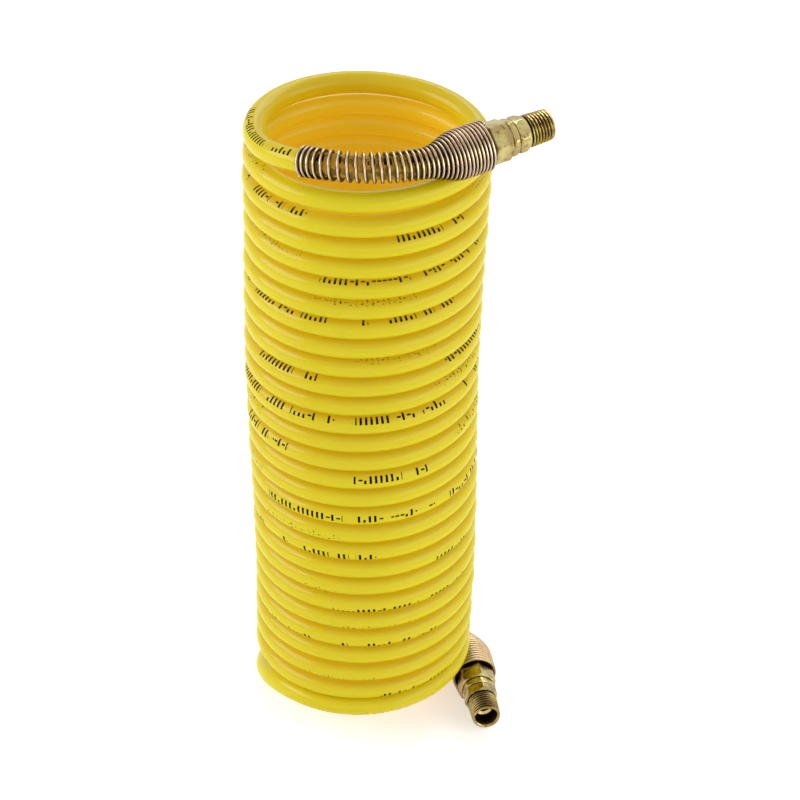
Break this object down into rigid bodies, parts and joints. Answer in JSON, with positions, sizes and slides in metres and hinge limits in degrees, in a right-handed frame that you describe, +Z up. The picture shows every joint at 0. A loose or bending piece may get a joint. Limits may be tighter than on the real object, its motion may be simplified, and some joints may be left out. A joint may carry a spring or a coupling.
{
  "type": "coiled air hose",
  "caption": "Closed helical plastic air hose standing on end, with a spring guard, a clamp nut and a swivelling male pipe-thread fitting at each end.",
  "frame": {"origin": "centre of the bounding box on the floor under the standing coil", "axes": "+Z up along the coil's axis, +X towards the side where both fittings leave the coil, -Y towards the front"},
  "size_m": [0.126, 0.1029, 0.311],
  "materials": {
    "hose": "bright yellow nylon, smooth and slightly waxy, with worn grey print marks",
    "guard_wire": "zinc-plated spring wire with a gold and pink sheen",
    "fitting_brass": "machined brass with a dull matt skin",
    "seal_rubber": "black rubber"
  },
  "bodies": {
    "coil_and_lower_end": {"hose_coil": "hose", "lower_hose_lead": "hose", "lower_spring_guard": "guard_wire", "lower_clamp_nut": "fitting_brass", "lower_clamp_sleeve": "fitting_brass", "lower_fitting_body": "fitting_brass", "lower_swivel_o_ring": "seal_rubber"},
    "upper_end": {"upper_hose_lead": "hose", "upper_spring_guard": "guard_wire", "upper_clamp_nut": "fitting_brass", "upper_clamp_sleeve": "fitting_brass", "upper_fitting_body": "fitting_brass", "upper_swivel_o_ring": "seal_rubber"},
    "upper_swivel": {"upper_swivel_tail": "fitting_brass"},
    "lower_swivel": {"lower_swivel_tail": "fitting_brass"}
  },
  "joints": [
    {"name": "coil_stretch", "type": "slide", "parent": "coil_and_lower_end", "child": "upper_end", "axis": [0, 0, 1], "range_m": [0, 1.2], "stiffness_N_per_m": 10, "deforming": ["hose_coil"]},
    {"name": "upper_swivel_turn", "type": "hinge", "parent": "upper_end", "child": "upper_swivel", "pos_m": [0.05523, -0.01621, 0.30234], "axis": [0.8639, 0.4988, 0.0698], "continuous": true},
    {"name": "lower_swivel_turn", "type": "hinge", "parent": "coil_and_lower_end", "child": "lower_swivel", "pos_m": [0.04346, -0.03465, 0.0101], "axis": [0.1736, -0.9848, 0], "continuous": true}
  ]
}
